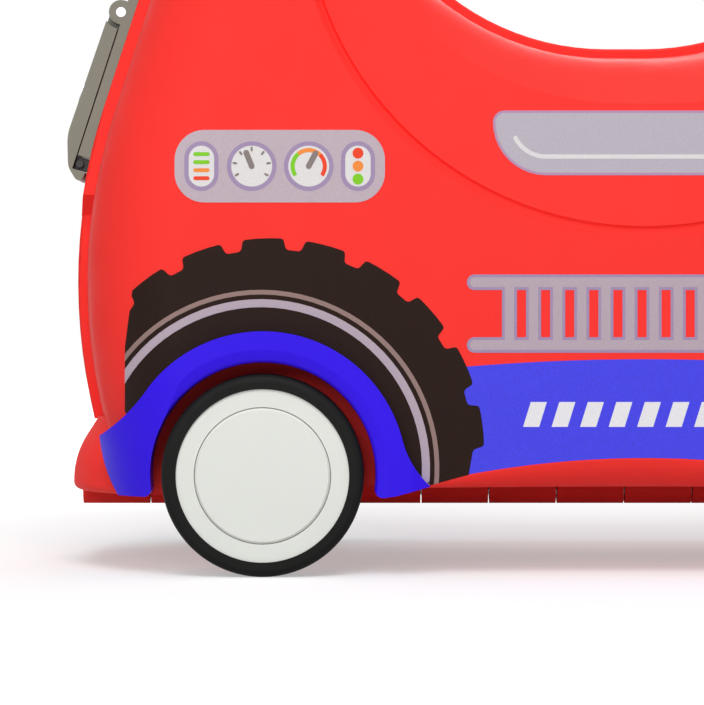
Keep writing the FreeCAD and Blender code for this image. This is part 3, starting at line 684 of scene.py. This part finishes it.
# Instrument panel on the front
panel = (-181.6 * mm, -100.4 * mm, 144.2 * mm, 172.2 * mm)
panel_round = 11.5 * mm
dial_z = 158.2 * mm
dial_radius = 9.6 * mm
dial_face = 7.9 * mm
pill_half = 6.6 * mm
pill_tall = 9.6 * mm
pill_edge = 1.7 * mm
level_x = -171.2 * mm
speed_x = -151.8 * mm
heat_x = -129.8 * mm
lamp_x = -110.8 * mm
needle_width = 2.2 * mm
needle_length = 5.6 * mm
speed_needle_deg = 112
heat_needle_deg = 62
tick_span = (6.1 * mm, 7.1 * mm)
tick_width = 0.8 * mm
tick_turns_deg = range(210, -31, -40)
heat_ring = (5.4 * mm, 7.0 * mm)
heat_turns_deg = (-35, 45, 130, 215)
lamp_radius = 2.1 * mm
lamp_pitch = 5.0 * mm
mark_width = 1.5 * mm
mark_half = 2.4 * mm
mark_pitch = 3.1 * mm


def pill(x, inset):
    return rounded_box(x - pill_half + inset, x + pill_half - inset, dial_z - pill_tall + inset,
                       dial_z + pill_tall - inset, pill_half - inset)


def print_needles(speed, heat):
    """Both needles, and the ticks of the speed dial."""
    bars = [bar(speed, polar(speed, needle_length, speed_needle_deg), needle_width)]
    bars.append(bar(heat, polar(heat, needle_length, heat_needle_deg), needle_width))
    for turn in tick_turns_deg:
        inner, outer = (polar(speed, radius, turn) for radius in tick_span)
        bars.append(bar(inner, outer, tick_width))
    print_on("dial_needles", bars, ink("print_needle", needle_colour), 4)


def print_signals(heat):
    """In three colours: the stretches of the heat dial, the lamps and the marks of the level."""
    warm, orange, green = groups = [], [], []
    for index, group in enumerate(groups):
        group.append(band(heat, *heat_ring, heat_turns_deg[index], heat_turns_deg[index + 1]))
        group.append(disc((lamp_x, dial_z + (1 - index) * lamp_pitch), lamp_radius))
    marks = (warm, orange, green, green)
    for index, group in enumerate(marks):
        z = dial_z + (index - (len(marks) - 1) / 2) * mark_pitch
        group.append(bar((level_x - mark_half, z), (level_x + mark_half, z), mark_width))
    print_on("dial_green", green, ink("print_green", green_colour), 3)
    print_on("dial_orange", orange, ink("print_orange", orange_colour), 3)
    print_on("dial_red", warm, ink("print_red", warm_colour), 3)


def print_panel():
    """Generic dials: a level, a speed, a heat arc and three lamps."""
    speed = (speed_x, dial_z)
    heat = (heat_x, dial_z)
    print_on("panel", [rounded_box(*panel, panel_round)], ink("print_panel", panel_colour), 0)
    rings = [disc(speed, dial_radius), disc(heat, dial_radius), pill(level_x, 0.0), pill(lamp_x, 0.0)]
    print_on("dial_rings", rings, ink("print_violet", purple_colour), 1)
    faces = [disc(speed, dial_face), disc(heat, dial_face)]
    faces += [pill(level_x, pill_edge), pill(lamp_x, pill_edge)]
    print_on("dial_faces", faces, ink("print_dial", dial_colour), 2)
    print_needles(speed, heat)
    print_signals(heat)


# Packing strap inside the left half: woven tape, sewn near its anchors
strap_low, strap_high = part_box("packing_strap")
anchor_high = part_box("strap_anchors")[1]
weave_pitch = 1.0 * mm
weave_rows = 22
weave_relief = 0.16 * mm
weave_edge_power = 8
seam_gap = 4.0 * mm
seam_length = 14.0 * mm
seam_inset = 4.0 * mm
stitch_length = 2.0 * mm
stitch_share = 0.72
stitch_radius = 0.28 * mm
stitch_rise = 0.22 * mm
stitch_rings = 6
stitch_sides = 6


def tape_ring(x, station):
    """One section of the tape, thin at both edges, with its weft threads over and under."""
    middle = (strap_low.y + strap_high.y) / 2
    half = (strap_high.y - strap_low.y) / 2
    front = []
    back = []
    for row in range(weave_rows + 1):
        share = 2 * row / weave_rows - 1
        z = strap_low.z + (strap_high.z - strap_low.z) * row / weave_rows
        bulge = half * math.sqrt(1 - abs(share) ** weave_edge_power)
        sunk = weave_relief if (row + station) % 2 and 0 < row < weave_rows else 0.0
        front.append((x, middle + bulge - sunk, z))
        back.append((x, middle - bulge + sunk, z))
    return front + back[-2:0:-1]


def link_piece(name, corners, faces, material, body):
    """Makes a smooth piece from corners and faces and lets it ride its body."""
    mesh = bpy.data.meshes.new(name)
    mesh.from_pydata(corners, [], faces)
    work = bmesh.new()
    work.from_mesh(mesh)
    bmesh.ops.recalc_face_normals(work, faces=work.faces[:])
    for face in work.faces:
        face.smooth = True
    work.to_mesh(mesh)
    work.free()
    mesh.materials.append(material)
    piece = bpy.data.objects.new(name, mesh)
    bpy.context.scene.collection.objects.link(piece)
    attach(piece, body)
    return piece


def tube_faces(rings, around, first):
    """Faces that join rings of corners into a closed tube."""
    faces = [tuple(first + step for step in range(around))]
    for ring in range(rings - 1):
        for step in range(around):
            a = first + ring * around + step
            b = first + ring * around + (step + 1) % around
            faces.append((a, b, b + around, a + around))
    last = first + (rings - 1) * around
    faces.append(tuple(last + step for step in reversed(range(around))))
    return faces


def weave_tape():
    stations = round((strap_high.x - strap_low.x) / weave_pitch)
    corners = []
    for station in range(stations + 1):
        x = strap_low.x + (strap_high.x - strap_low.x) * station / stations
        corners += tape_ring(x, station)
    faces = tube_faces(stations + 1, 2 * weave_rows, 0)
    piece = link_piece("woven_strap", corners, faces, slot_material["webbing"], "left_half")
    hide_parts("packing_strap")


def stitch_corners(start, end):
    """A thread that rises out of the tape and dives in again."""
    along = (end - start).normalized()
    across = along.cross(Vector((0, 1, 0)))
    corners = []
    for ring in range(stitch_rings):
        share = ring / (stitch_rings - 1)
        lift = stitch_rise * math.sin(math.pi * share) - stitch_radius
        centre = start.lerp(end, share) + Vector((0, lift, 0))
        for side in range(stitch_sides):
            turn = 2 * math.pi * side / stitch_sides
            offset = across * math.cos(turn) + Vector((0, 1, 0)) * math.sin(turn)
            corners.append(tuple(centre + offset * stitch_radius))
    return corners


def seam_lines():
    """The box and cross sewn beside each anchor, as pairs of ends."""
    low = strap_low.z + seam_inset
    high = strap_high.z - seam_inset
    reach = (anchor_high.x - strap_high.x) + seam_gap
    lines = []
    for side in (-1, 1):
        x0 = side * (strap_high.x - reach)
        x1 = x0 - side * seam_length
        box = [(x0, low), (x1, low), (x1, high), (x0, high)]
        lines += list(zip(box, box[1:] + box[:1]))
        lines += [(box[0], box[2]), (box[1], box[3])]
    return lines


def sew_strap():
    corners = []
    faces = []
    for (x0, z0), (x1, z1) in seam_lines():
        start = Vector((x0, strap_high.y, z0))
        end = Vector((x1, strap_high.y, z1))
        count = round((end - start).length / stitch_length)
        step = (end - start) / count
        for index in range(count):
            begin = start + step * (index + (1 - stitch_share) / 2)
            faces += tube_faces(stitch_rings, stitch_sides, len(corners))
            corners += stitch_corners(begin, begin + step * stitch_share)
    thread = moulded("strap_thread", thread_grey, roughness=0.75, spread=0.15, grain_scale=4000.0,
                     grain_depth=buckle_grain)
    link_piece("strap_stitches", corners, faces, thread, "left_half")


set_camera()
set_world()
make_floor()
hang_lamps()
bpy.context.scene.view_settings.view_transform = "Standard"

dress_nodes()
print_stripe()
print_tyres()
print_ladder()
print_window()
print_panel()
weave_tape()
sew_strap()
